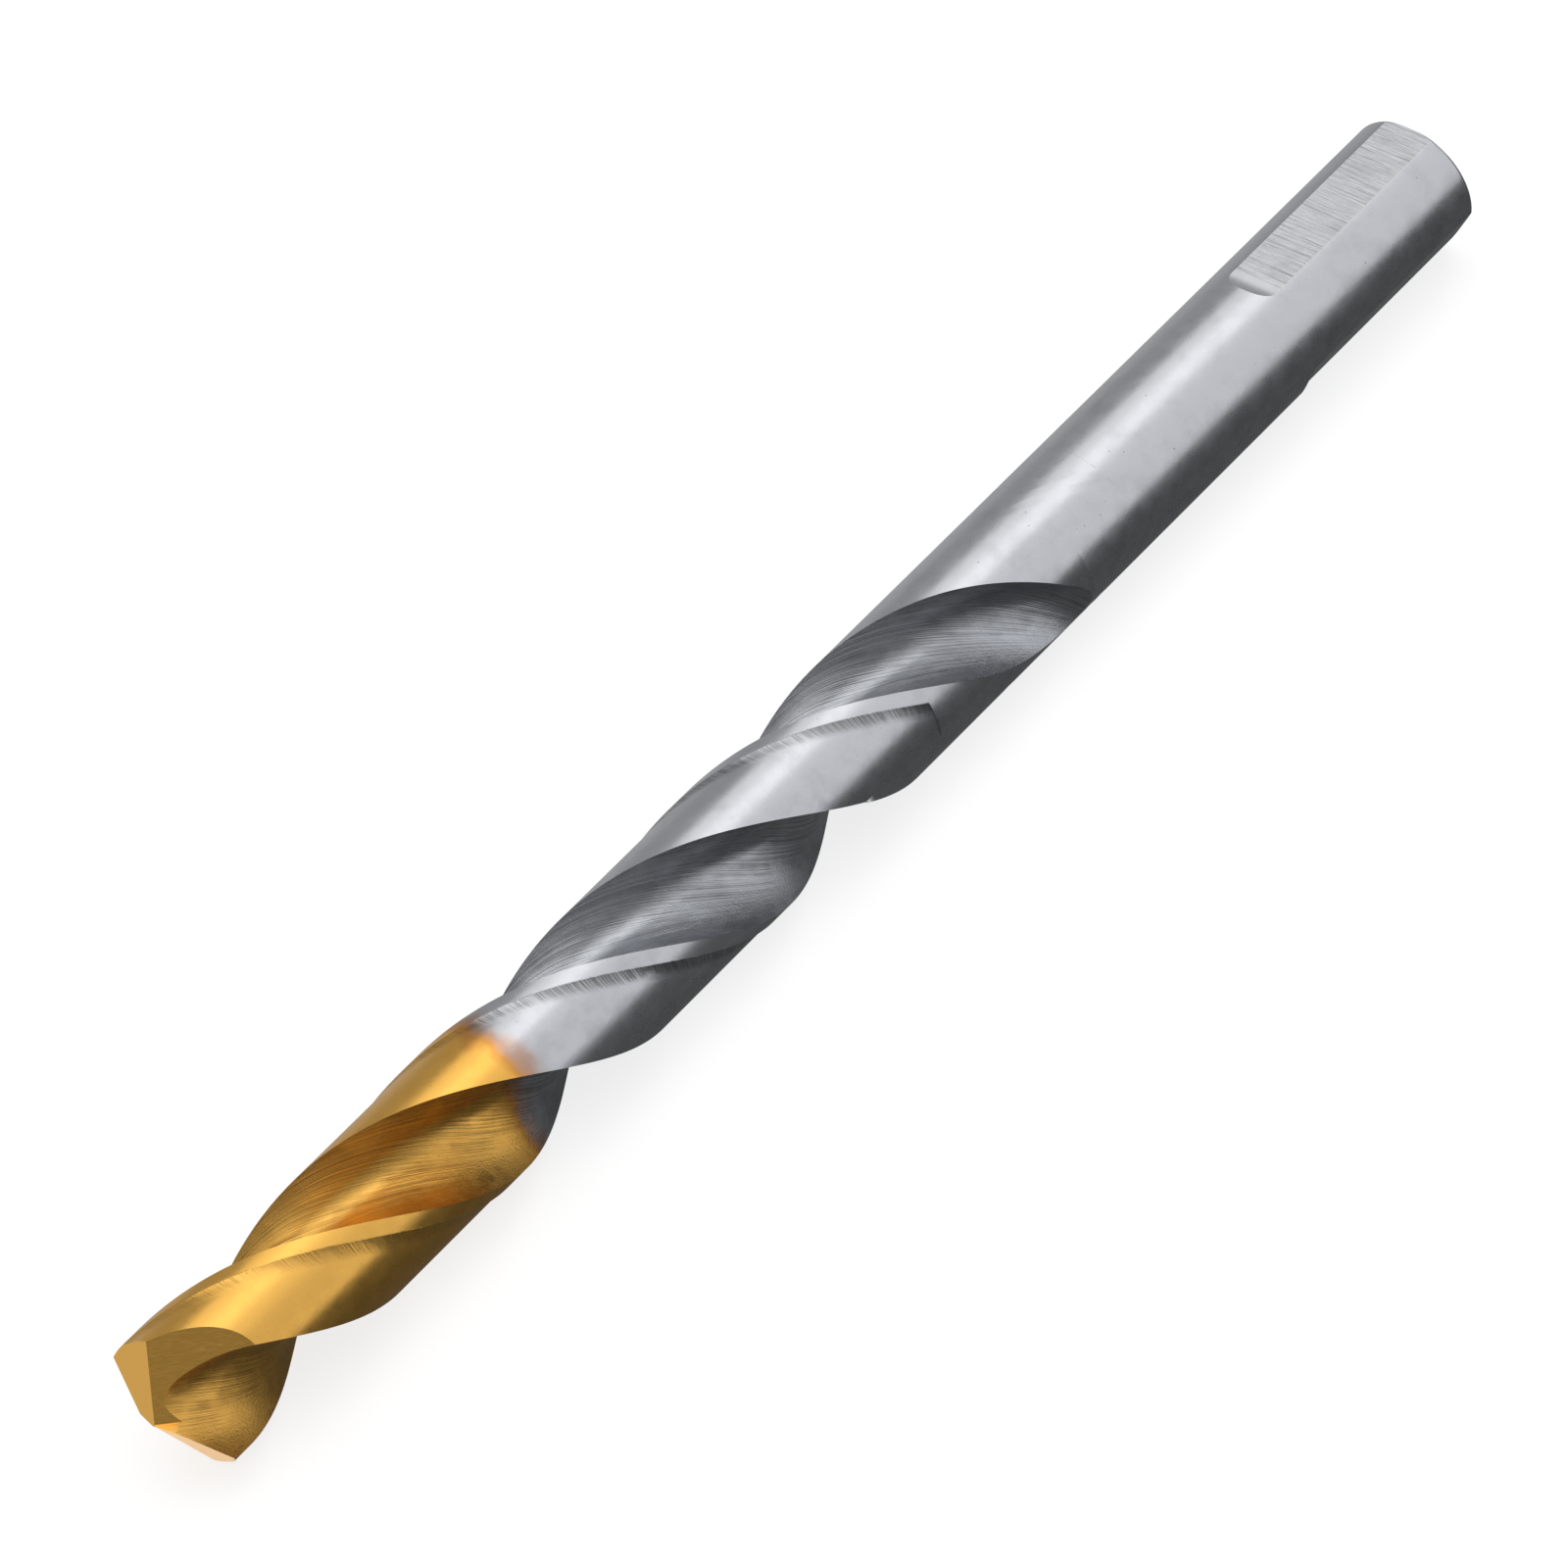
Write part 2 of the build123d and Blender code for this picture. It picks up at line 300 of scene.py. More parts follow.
def tube(name, points, coords, zone):
    """Closed skin over a (rows, columns, 3) grid whose columns go once round.

    Face (i, j) joins columns j and j + 1 of rows i and i + 1; the ends are single faces."""
    rows, cols, _ = points.shape
    i, j = np.meshgrid(np.arange(rows - 1), np.arange(cols), indexing="ij")
    k = (j + 1) % cols
    quads = np.stack([i * cols + j, i * cols + k, (i + 1) * cols + k, (i + 1) * cols + j], -1)
    faces = quads.reshape(-1, 4).tolist()
    faces += [list(range(cols))[::-1], list(range((rows - 1) * cols, rows * cols))]
    mesh = bpy.data.meshes.new(name)
    mesh.from_pydata(points.reshape(-1, 3), [], faces)
    uv = np.zeros((len(mesh.loops), 2))
    uv[: quads.size] = coords.reshape(-1, 2)[quads.ravel()]
    layer = mesh.uv_layers.new(name="surface_mm")
    layer.data.foreach_set("uv", uv.ravel())
    zones = np.append(np.broadcast_to(zone, i.shape).ravel(), [END_ZONE, END_ZONE])
    mesh.polygons.foreach_set("material_index", zones.astype(np.int32))
    return mesh


# %% Clean-up of a skin
SAME_SPOT, NO_LENGTH = 2e-4, 1e-6       # mm


def merged(mesh):
    """Merges points on the same spot and makes every face look outwards."""
    work = bmesh.new()
    work.from_mesh(mesh)
    bmesh.ops.remove_doubles(work, verts=work.verts, dist=SAME_SPOT)
    bmesh.ops.dissolve_degenerate(work, edges=work.edges, dist=NO_LENGTH)
    bmesh.ops.recalc_face_normals(work, faces=work.faces)
    volume = work.calc_volume(signed=True)
    work.to_mesh(mesh)
    work.free()
    print(mesh.name, "volume", round(volume, 1), "mm3,", len(mesh.polygons), "faces")
    return mesh


# %% [markdown]
# ## The fluted lengths
# The rows are about a quarter of a millimetre apart, so a turn of the flute has over a hundred of
# them and its curve shows no facets. The row where the ground-down band stops is given twice, once
# with the band and once without, which stands the little end wall square to the axis. Behind it the
# land wears the shank's finish, because both were ground round together.

# %% Grids of the coated point and of the bare fluted body
AHEAD = 1.5                             # the skin starts ahead of the point, which is cut later
POINT_ROWS, BAND_ROWS, LATE_ROWS = 173, 163, 91
zone = np.tile([LAND_ZONE] * LAND_COLS + [FLUTE_ZONE] * FLUTE_COLS, 2)

point_rows = np.linspace(-AHEAD, COATED, POINT_ROWS)
points, coords = spiral_grid(point_rows, np.ones(POINT_ROWS, bool))
point_mesh = merged(tube("coated_point", points, coords, zone))

band_rows = np.linspace(COATED, BAND_END, BAND_ROWS)
late_rows = np.linspace(BAND_END, WELD, LATE_ROWS)
body_rows = np.concatenate([band_rows, late_rows])
points, coords = spiral_grid(body_rows, np.arange(len(body_rows)) < BAND_ROWS)
as_round = (body_rows[:-1, None] >= BAND_END) & (zone == LAND_ZONE)
body_mesh = merged(tube("fluted_body", points, coords, np.where(as_round, ROUND_ZONE, zone)))

# %% [markdown]
# ## Grinding the point
# Four flat facets make a split point: a relief facet behind each lip, and a steep second facet that
# also thins the web down to a very short chisel edge. Flat grinding is exactly what a boolean with
# a block does, so each facet is one block whose face is the grinding plane.

# %% A block with a sloping face
REACH, FAR_AHEAD = 16.0, -60.0          # half width of a block, and its front, past the drill


def sloped_block(rise, uphill, wall=None, offset=0.0):
    """Block ahead of the plane station = rise * distance in the uphill direction.

    With a wall, it keeps only the side that lies more than the offset past that wall."""
    wall_turn = 0.0 if wall is None else wall
    near = REACH if wall is None else -offset
    sideways = np.array([cos(wall_turn + pi / 2), sin(wall_turn + pi / 2)])
    lengthways = np.array([cos(wall_turn), sin(wall_turn)])
    ends = (-REACH, REACH)
    yz = np.array([a * sideways + b * lengthways for a in (near, -REACH) for b in ends])
    back = np.column_stack([rise * (yz @ [cos(uphill), sin(uphill)]), yz])
    front = np.column_stack([np.full(4, FAR_AHEAD), yz])
    faces = [(0, 1, 3, 2), (4, 6, 7, 5), (0, 4, 5, 1), (2, 3, 7, 6), (0, 2, 6, 4), (1, 5, 7, 3)]
    mesh = bpy.data.meshes.new("block")
    mesh.from_pydata(np.concatenate([back, front]), [], faces)
    layer = mesh.uv_layers.new(name="surface_mm")
    corner = np.ravel(faces) % 4
    layer.data.foreach_set("uv", (yz[corner] / cos(atan2(rise, 1))).ravel())
    mesh.polygons.foreach_set("material_index", np.full(6, END_ZONE, np.int32))
    return merged(mesh)


# %% Taking blocks out of a skin
def cut(mesh, *blocks):
    """Takes the blocks out of a closed mesh, one after the other.

    The faces that a block leaves behind wear the block's own zone."""
    body = bpy.data.objects.new("work", mesh)
    bpy.context.scene.collection.objects.link(body)
    tools = []
    for block in blocks:
        tool = bpy.data.objects.new("tool", block)
        bpy.context.scene.collection.objects.link(tool)
        step = body.modifiers.new("cut", "BOOLEAN")
        step.operation, step.solver, step.object = "DIFFERENCE", "EXACT", tool
        step.material_mode = "INDEX"
        tools.append(tool)
    graph = bpy.context.evaluated_depsgraph_get()
    made = bpy.data.meshes.new_from_object(body.evaluated_get(graph), depsgraph=graph)
    for item in [body, *tools]:
        bpy.data.objects.remove(item)
    made.name = mesh.name + "_cut"
    return merged(made)


# %% The four facets
lip = EDGE + TWIST * CORNER + asin(HALF_WEB / CUT_R)    # direction of the first lip
first_rise = hypot(LIP_SLOPE, RELIEF_SLOPE)
first_uphill = lip + atan2(RELIEF_SLOPE, LIP_SLOPE)
SECOND_RISE, SECOND_TURN = tan(radians(53.5)), radians(104.5)
WALL_TURN, WALL_GAP = radians(29), 0.08                 # where the second facet stops
blocks = [sloped_block(first_rise, side + first_uphill) for side in (0, pi)]
blocks += [
    sloped_block(SECOND_RISE, side + lip + SECOND_TURN, side + pi + lip - WALL_TURN, WALL_GAP)
    for side in (0, pi)
]
point_mesh = cut(point_mesh, *blocks)

# %% [markdown]
# ## The shank
# A plain round bar with its rear edge rounded. A lathe profile could be spun with a modifier, but a
# grid keeps the UV map in millimetres, as on the flutes.

# %% Round bar with a rounded rear edge
ROUND_COLS, SHANK_ROWS, END_ROUND = 360, 120, 0.4
bend = np.linspace(0, pi / 2, 9)[1:]
stations = np.concatenate([
    np.linspace(WELD, LENGTH - END_ROUND, SHANK_ROWS),
    LENGTH - END_ROUND + END_ROUND * np.sin(bend),
])
radii = np.concatenate([np.full(SHANK_ROWS, SHANK_R), SHANK_R - END_ROUND * (1 - np.cos(bend))])
angles = np.arange(ROUND_COLS) * 2 * pi / ROUND_COLS
points = np.stack([
    np.broadcast_to(stations[:, None], (len(stations), ROUND_COLS)),
    radii[:, None] * np.cos(angles),
    radii[:, None] * np.sin(angles),
], -1)
coords = np.stack([points[..., 0], np.broadcast_to(angles * SHANK_R, points.shape[:2])], -1)
shank_mesh = merged(tube("shank", points, coords, np.zeros(ROUND_COLS, int)))

# %% [markdown]
# ## The drive flats
# Three flats, a third of a turn apart, keep the shank from slipping in a chuck. They were ground by
# a wheel with a rounded corner, which leaves a short hollow ramp at their front. Each is cut with a
# swept profile that has fine rows there, so that the ramp shades smoothly.

# %% The wheel's path, and the three flats
FLAT_START, FLAT_SEAT = 115.0, 4.57     # station, and height of the flat above the axis
RAMP_R, FLAT_HALF = 2.2, 6.0            # wheel corner, and half width of the cutter
FLAT_ZONE = 1


def flat_cutter(turn):
    """Swept profile: a quarter circle down to the seat, then straight on past the end."""
    ramp = np.linspace(pi, 1.5 * pi, 49)
    low = np.stack([FLAT_START + RAMP_R * np.cos(ramp), FLAT_SEAT + RAMP_R * (1 + np.sin(ramp))], 1)
    rest = FLAT_START + np.array([0.05, 0.2, 1, 6, 12, LENGTH + 2 - FLAT_START])
    low = np.concatenate([low, np.stack([rest, np.full(len(rest), FLAT_SEAT)], 1)])
    high = np.stack([low[:, 0], np.full(len(low), FLAT_SEAT + RAMP_R + 0.01)], 1)
    loop = np.array([(-FLAT_HALF, 0), (FLAT_HALF, 0), (FLAT_HALF, 1), (-FLAT_HALF, 1)])
    height = low[:, 1, None] + loop[None, :, 1] * (high - low)[:, 1, None]
    side = np.broadcast_to(loop[None, :, 0], height.shape)
    y = height * cos(turn) - side * sin(turn)
    z = height * sin(turn) + side * cos(turn)
    grid = np.stack([np.broadcast_to(low[:, 0, None], y.shape), y, z], -1)
    mesh = tube("flat", grid, np.stack([grid[..., 0], side], -1), np.zeros(4, int))
    mesh.polygons.foreach_set("material_index", np.full(len(mesh.polygons), FLAT_ZONE, np.int32))
    return merged(mesh)


flat_turns = [radians(90 + 120 * i) for i in range(3)]
shank_mesh = cut(shank_mesh, *[flat_cutter(turn) for turn in flat_turns])

# %% [markdown]
# ## How a finish is put together
# Every surface of a drill is ground metal, so the finishes differ in how the wheel left it: lines
# across the flute, short marks beside the step, a fine matt round, coarse lines across a flat. One
# helper adds any node with its settings and links, and each finish is written out with it.


# %% Helpers for colours and nodes
def linear(code):
    """sRGB hex colour as linear red, green, blue and alpha."""
    channel = np.array([int(code[i : i + 2], 16) for i in (1, 3, 5)]) / 255
    low, high = channel / 12.92, ((channel + 0.055) / 1.055) ** 2.4
    return (*np.where(channel <= 0.04045, low, high).tolist(), 1.0)


def feed(tree, node, inputs):
    """Gives a node its inputs, in its own order or by name: values are set, outputs are linked."""
    pairs = inputs.items() if isinstance(inputs, dict) else enumerate(inputs)
    for name, value in pairs:
        if isinstance(value, bpy.types.NodeSocket):
            tree.links.new(value, node.inputs[name])
        else:
            node.inputs[name].default_value = value


def add(tree, kind, inputs=(), **settings):
    """Adds one shader node with its settings and its inputs, and returns its outputs."""
    made = tree.nodes.new("ShaderNode" + kind)
    for name, value in settings.items():
        setattr(made, name, value)
    feed(tree, made, inputs)
    return made.outputs


# %% Settings that come back in every finish
MM = 0.001                                            # bump depths are written in millimetres
EASED = {"interpolation_type": "SMOOTHSTEP"}          # a Map Range that starts and ends gently
TIMES = {"operation": "MULTIPLY"}
FACTOR, UNDER, OVER, MIXED = 0, 6, 7, 2               # sockets of a Mix node that mixes colours


def new_finish(name):
    """Empty metal material with its node tree and shader."""
    made = bpy.data.materials.new(name)
    made.use_nodes = True
    shader = made.node_tree.nodes["Principled BSDF"]
    shader.inputs["Metallic"].default_value = 1.0
    return made, made.node_tree, shader


def places(tree):
    """Object position in mm, station in mm, and the two surface coordinates in mm."""
    position = add(tree, "TexCoord")["Object"]
    mm = add(tree, "Mapping", {"Vector": position, "Scale": (1000, 1000, 1000)})[0]
    from_middle = add(tree, "SeparateXYZ", [mm])["X"]
    station = add(tree, "Math", [from_middle, LENGTH / 2], operation="ADD")[0]
    surface = add(tree, "UVMap", uv_map="surface_mm")[0]
    return mm, station, surface


# %% [markdown]
# ## Three patterns of ground metal
# *Wheel lines* are noise drawn out long in one direction. *Wandering* values drift slowly over the
# surface and keep a finish from looking even. *Specks* are the sparse pits that grit and handling
# leave. Each is a small group of nodes that several finishes share.


# %% Patterns of several nodes
def wheel_lines(tree, where, per_mm, detail=2.0, roughness=0.5):
    """Noise of 0 to 1 in coordinates that are scaled differently along each axis."""
    drawn = add(tree, "Mapping", {"Vector": where, "Scale": per_mm})[0]
    return add(tree, "TexNoise", {"Vector": drawn, "Scale": 1.0, "Detail": detail,
                                  "Roughness": roughness})[0]


def wandering(tree, mm, per_mm, seen, given, detail=2.0, roughness=0.5):
    """Noise whose seen range is carried gently onto the given one."""
    noise = add(tree, "TexNoise", {"Vector": mm, "Scale": per_mm, "Detail": detail,
                                   "Roughness": roughness})[0]
    return add(tree, "MapRange", [noise, *seen, *given], **EASED)[0]


def specks(tree, mm, per_mm, size, amount):
    """Sparse round pits: 1 inside a pit and 0 elsewhere. Size is a share of their spacing."""
    cells = add(tree, "TexVoronoi", {"Vector": mm, "Scale": per_mm})
    near = add(tree, "MapRange", [cells["Distance"], size * 0.5, size, 1.0, 0.0], **EASED)[0]
    tint = add(tree, "SeparateColor", [cells["Color"]])[0]
    chosen = add(tree, "Math", [tint, amount], operation="LESS_THAN")[0]
    return add(tree, "Math", [near, chosen], **TIMES)[0]


# %% [markdown]
# ## Steel and titanium nitride
# Bright high-speed steel is a cool light grey. Titanium nitride is a gold-coloured ceramic a few
# thousandths of a millimetre thick, laid on in a vacuum. Only the front was in the vapour, so the
# film thins out over two or three millimetres, and a thinning film passes through bronze and a
# mauve tint before the steel shows. The colour follows the station, made a little uneven by noise.

# %% Colour of the metal
STEEL, STAINED = "#C6C8CC", "#A9ABB0"
MAUVE_AT, STEEL_AT = 0.54, 0.74          # shares of the fade
FILM = [(0.0, "#F1BA5C"), (0.34, "#F1B858"), (0.44, "#D8994E"), (MAUVE_AT, "#BC9E8E"),
        (STEEL_AT, STEEL)]
FADE_FROM, FADE_TO = 29.5, 37.5          # stations between which the film thins out
FADE_DRIFT = 3.2                         # how unevenly its end lies, in mm


def bare_colour(tree, mm, steel=STEEL):
    """Colour of bare steel, with faint stains a few millimetres wide."""
    stain = wandering(tree, mm, 0.45, (0.45, 0.75), (0.0, 0.35), 4.0, 0.6)
    return add(tree, "Mix", {FACTOR: stain, UNDER: linear(steel), OVER: linear(STAINED)},
               data_type="RGBA")[MIXED]


def coated_colour(tree, mm, station, steel=STEEL):
    """Film colour by station, and the steel's own behind the fade."""
    noise = add(tree, "TexNoise", {"Vector": mm, "Scale": 0.35, "Detail": 3.0})[0]
    centred = add(tree, "Math", [noise, 0.5], operation="SUBTRACT")[0]
    drift = add(tree, "Math", [centred, FADE_DRIFT], **TIMES)[0]
    uneven = add(tree, "Math", [station, drift], operation="ADD")[0]
    share = add(tree, "MapRange", [uneven, FADE_FROM, FADE_TO])[0]
    film = add(tree, "ValToRGB", [share])[0]
    stops = film.node.color_ramp.elements
    for k, (at, code) in enumerate(FILM):
        stop = stops[k] if k < 2 else stops.new(at)      # a new ramp has two stops already
        stop.position, stop.color = at, linear(code)
    bare = add(tree, "MapRange", [share, MAUVE_AT, STEEL_AT], **EASED)[0]
    return add(tree, "Mix", {FACTOR: bare, UNDER: film, OVER: bare_colour(tree, mm, steel)},
               data_type="RGBA")[MIXED]


# %% [markdown]
# ## Finish of the flutes
# The flute wheel is set at the helix angle and leaves a groove on each pass. The first surface
# coordinate counts those passes, so noise that is short along it and long along the other one draws
# lines that lie just as the wheel ran, crossing the flute at a slant. Real lines are about 0.05 mm
# apart; they are drawn 0.2 mm apart, so that they can be seen. They are strong on the heel side and
# give way to a fine grain beside the cutting edge, where the wheel's corner rubbed.

# %% Ground flutes, coated in front: where the lines are strong
flute_finish, tree, shader = new_finish("ground_flute_steel")
mm, station, surface = places(tree)
across = add(tree, "SeparateXYZ", [surface])["Y"]
lined = add(tree, "MapRange", [across, 2.2, 4.6, 0.22, 1.0], **EASED)[0]
patchy = wandering(tree, mm, 0.5, (0.3, 0.7), (0.45, 1.0))
uneven = add(tree, "Math", [patchy, lined], **TIMES)[0]
passes = wheel_lines(tree, surface, (5.6, 0.15, 1), 2.0, 0.6)

# %% Ground flutes: relief of the lines and of the grain
ridges = add(tree, "Math", [passes, uneven], **TIMES)[0]
bump = add(tree, "Bump", {"Height": ridges, "Distance": 0.048 * MM})[0]
grain = add(tree, "TexNoise", {"Vector": mm, "Scale": 5.5, "Detail": 3.0, "Roughness": 0.6})[0]
grained = add(tree, "Math", [1.5, lined], operation="SUBTRACT")[0]
speckle = add(tree, "Math", [grain, grained], **TIMES)[0]
bump = add(tree, "Bump", {"Height": speckle, "Distance": 0.018 * MM, "Normal": bump})[0]

# %% Ground flutes: colour, darker in the grooves, and painted shade towards both borders
groove = add(tree, "MapRange", [passes, 0.38, 0.58, 0.52, 0.0], **EASED)[0]
groove = add(tree, "Math", [groove, uneven], **TIMES)[0]
# Painted shade: the colour is darkened towards the heel and beside the cutting edge, standing in
# for shade in the flute
at_heel = add(tree, "MapRange", [across, 7.2, 10.4, 1.0, 0.50], **EASED)[0]
at_edge = add(tree, "MapRange", [across, 0.5, 4.0, 0.80, 1.0], **EASED)[0]
borders = add(tree, "Math", [at_heel, at_edge], **TIMES)[0]
between = add(tree, "Math", [1.0, groove], operation="SUBTRACT")[0]
unshaded_between_grooves = add(tree, "Math", [between, borders], **TIMES)[0]
pits = add(tree, "Math", [specks(tree, mm, 3.2, 0.14, 0.14), 0.6], **TIMES)[0]
metal = coated_colour(tree, mm, station, "#BFC2C7")
metal = add(tree, "Mix", {FACTOR: pits, UNDER: metal, OVER: linear("#4A4038")},
            data_type="RGBA")[MIXED]
# The dark colour here gives the grooves' darker tone and the painted shade at the flute's borders
metal = add(tree, "Mix", {FACTOR: unshaded_between_grooves, UNDER: linear("#2E2A26"), OVER: metal},
            data_type="RGBA")[MIXED]
haze = wandering(tree, mm, 1.2, (0.3, 0.7), (0.28, 0.38), 3.0)
feed(tree, shader, {"Base Color": metal, "Normal": bump, "Roughness": haze})
print(flute_finish.name, "has", len(tree.nodes), "nodes")

# %% [markdown]
# ## Finish of the lands
# The margin was ground round with the bar, so it is the smoothest strip on the drill. Beside it a
# narrow wheel took the land down and left short marks square to the edge, in the hollow of the
# step; they are about 0.1 mm apart and drawn 0.2 mm apart. Behind them the land is a fine, faintly
# scratched matt.

# %% Margins and ground-down lands: marks in the hollow of the step
land_finish, tree, shader = new_finish("ground_land_steel")
mm, station, surface = places(tree)
back = add(tree, "SeparateXYZ", [surface])["Y"]
past_margin = add(tree, "MapRange", [back, MARGIN, MARGIN + 0.06, 0.0, 1.0], **EASED)[0]
before_band = add(tree, "MapRange", [back, MARGIN + 0.45, MARGIN + 1.10, 1.0, 0.0], **EASED)[0]
in_step = add(tree, "Math", [past_margin, before_band], **TIMES)[0]
marks = wheel_lines(tree, surface, (9.5, 0.25, 1), 1.0)
deep = add(tree, "Math", [marks, in_step], **TIMES)[0]
patchy = wandering(tree, mm, 0.35, (0.36, 0.55), (0.50, 1.0))
deep = add(tree, "Math", [deep, patchy], **TIMES)[0]
bump = add(tree, "Bump", {"Height": deep, "Distance": 0.05 * MM})[0]

# %% Lands: fine matt and faint scratches
matt = add(tree, "TexNoise", {"Vector": mm, "Scale": 3.0, "Detail": 3.0, "Roughness": 0.6})[0]
bump = add(tree, "Bump", {"Height": matt, "Distance": 0.0022 * MM, "Normal": bump})[0]
scratch = wheel_lines(tree, mm, (0.5, 7.0, 2.0), 1.0)
bump = add(tree, "Bump", {"Height": scratch, "Distance": 0.0012 * MM, "Normal": bump})[0]

# %% Lands: colour, darker in the marks, which the film half covers, with painted shade over the whole hollow of the step
pits = add(tree, "Math", [specks(tree, mm, 1.8, 0.10, 0.18), 0.5], **TIMES)[0]
# Painted shade: even between the marks the hollow of the step is darkened a little, and the
# grinding marks add their own darker tone
marks_and_step_shade = add(tree, "MapRange", [marks, 0.36, 0.62, 0.52, 0.20], **EASED)[0]
marks_and_step_shade = add(tree, "Math", [marks_and_step_shade, in_step], **TIMES)[0]
bare_of_film = add(tree, "MapRange", [station, 24.0, 38.0, 0.30, 1.0], **EASED)[0]
marks_and_step_shade = add(tree, "Math", [marks_and_step_shade, bare_of_film], **TIMES)[0]
dark = add(tree, "Math", [pits, marks_and_step_shade], operation="MAXIMUM")[0]
metal = add(tree, "Mix", {FACTOR: dark, UNDER: coated_colour(tree, mm, station),
                          OVER: linear("#4A4642")}, data_type="RGBA")[MIXED]
haze = wandering(tree, mm, 0.9, (0.3, 0.7), (0.25, 0.32), 3.0)
feed(tree, shader, {"Base Color": metal, "Normal": bump, "Roughness": haze})
print(land_finish.name, "has", len(tree.nodes), "nodes")

# %% [markdown]
# ## Finish of the point
# The four facets were ground flat with a coarser wheel before coating, so the film on them shows
# faint straight lines, about 0.2 mm apart as the wheel's grit leaves them. A few specks are pale,
# where the film is worn.

# %% Ground facets of the point
facet_finish, tree, shader = new_finish("ground_point_facet")
mm, station, surface = places(tree)
lines = wheel_lines(tree, surface, (0.5, 5.0, 1))
bump = add(tree, "Bump", {"Height": lines, "Distance": 0.022 * MM})[0]
matt = add(tree, "TexNoise", {"Vector": mm, "Scale": 5.0})[0]
bump = add(tree, "Bump", {"Height": matt, "Distance": 0.0015 * MM, "Normal": bump})[0]
worn = add(tree, "Math", [specks(tree, mm, 2.2, 0.12, 0.2), 0.5], **TIMES)[0]
metal = add(tree, "Mix", {FACTOR: worn, UNDER: coated_colour(tree, mm, station),
                          OVER: linear("#F2DDA0")}, data_type="RGBA")[MIXED]
feed(tree, shader, {"Base Color": metal, "Normal": bump, "Roughness": 0.27})
print(facet_finish.name, "has", len(tree.nodes), "nodes")

# %% [markdown]
# ## Finish of the shank
# The shank is centreless ground: it runs between two wheels, which leave it evenly fine with a
# slight haze, some pits and handling marks. Its flats were ground in one quick pass straight
# across, so their lines are coarse and uneven, about 0.4 mm apart, and catch the light one by one.

# %% Round shank
round_finish, tree, shader = new_finish("centreless_ground_steel")
mm, _, _ = places(tree)
haze = add(tree, "TexNoise", {"Vector": mm, "Scale": 4.5, "Detail": 4.0, "Roughness": 0.65})[0]
bump = add(tree, "Bump", {"Height": haze, "Distance": 0.004 * MM})[0]
rings = wheel_lines(tree, mm, (6.0, 1.2, 1.2), 1.0)
bump = add(tree, "Bump", {"Height": rings, "Distance": 0.0006 * MM, "Normal": bump})[0]
pits = specks(tree, mm, 1.3, 0.09, 0.28)
floor_of_pits = add(tree, "Math", [1.0, pits], operation="SUBTRACT")[0]
bump = add(tree, "Bump", {"Height": floor_of_pits, "Distance": 0.006 * MM, "Normal": bump})[0]
dark = add(tree, "Math", [pits, 0.6], **TIMES)[0]
metal = add(tree, "Mix", {FACTOR: dark, UNDER: bare_colour(tree, mm), OVER: linear("#55565A")},
            data_type="RGBA")[MIXED]
haze = wandering(tree, mm, 0.8, (0.3, 0.7), (0.25, 0.32), 3.0)
feed(tree, shader, {"Base Color": metal, "Normal": bump, "Roughness": haze})
print(round_finish.name, "has", len(tree.nodes), "nodes")

# %% Drive flats
flat_finish, tree, shader = new_finish("cross_ground_flat_steel")
mm, station, surface = places(tree)
coarse = wheel_lines(tree, surface, (2.4, 0.06, 1), 4.0, 0.8)
past_ramp = add(tree, "MapRange", [station, FLAT_START, FLAT_START + 1.0, 0.1, 1.0], **EASED)[0]
ridges = add(tree, "Math", [coarse, past_ramp], **TIMES)[0]
bump = add(tree, "Bump", {"Height": ridges, "Distance": 0.09 * MM})[0]
groove = add(tree, "MapRange", [coarse, 0.30, 0.52, 0.55, 0.0], **EASED)[0]
groove = add(tree, "Math", [groove, past_ramp], **TIMES)[0]
metal = add(tree, "Mix", {FACTOR: groove, UNDER: bare_colour(tree, mm, "#CDCFD2"),
                          OVER: linear("#5C5D60")}, data_type="RGBA")[MIXED]
feed(tree, shader, {"Base Color": metal, "Normal": bump, "Roughness": 0.30})
print(flat_finish.name, "has", len(tree.nodes), "nodes")

# %% [markdown]
# ## Putting the lengths in place
# Each finished skin stands for one CAD node. Edges sharper than fifteen degrees stay crisp, and
# everything flatter is shaded smooth. The drill has no moving parts, so all of it rides on one
# body.


# %% Pieces
def to_metres(name, mesh):
    """Turns a mesh in drill millimetres (station, y, z about the axis) into the shared frame."""
    flat = np.zeros(len(mesh.vertices) * 3)
    mesh.vertices.foreach_get("co", flat)
    points = flat.reshape(-1, 3) + [-LENGTH / 2, 0, CUT_R]
    mesh.vertices.foreach_set("co", (points * MM).ravel())
    mesh.name = name
    mesh.update()


def place(mesh, name, node, finishes):
    """Moves a mesh into the shared frame, shades it, and lets it stand for its CAD node."""
    to_metres(name, mesh)
    for finish in finishes:
        mesh.materials.append(finish)
    mesh.shade_smooth()
    mesh.set_sharp_from_angle(angle=radians(15))
    piece = bpy.data.objects.new(name, mesh)
    bpy.context.scene.collection.objects.link(piece)
    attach(piece, "root")
    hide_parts(node)
    print(name, sum(len(face.vertices) - 2 for face in mesh.polygons), "triangles")


front = [flute_finish, land_finish, facet_finish, round_finish]
place(point_mesh, "ground_point", "coated_point", front)
place(body_mesh, "ground_flutes", "fluted_body", front)
place(shank_mesh, "ground_shank", "shank", [round_finish, flat_finish, round_finish])

# %% [markdown]
# ## Floor and cards
# Polished metal shows its surroundings, so they are built like the light tent that shiny goods are
# shown in. The floor is plain, pale and matt. On it lie cards that only reflections see: a dark one
# gives the deep tone along the lower flank, grey ones the softer tones on the other side and beside
# the point, and an upright grey flag holds back the light from the front.

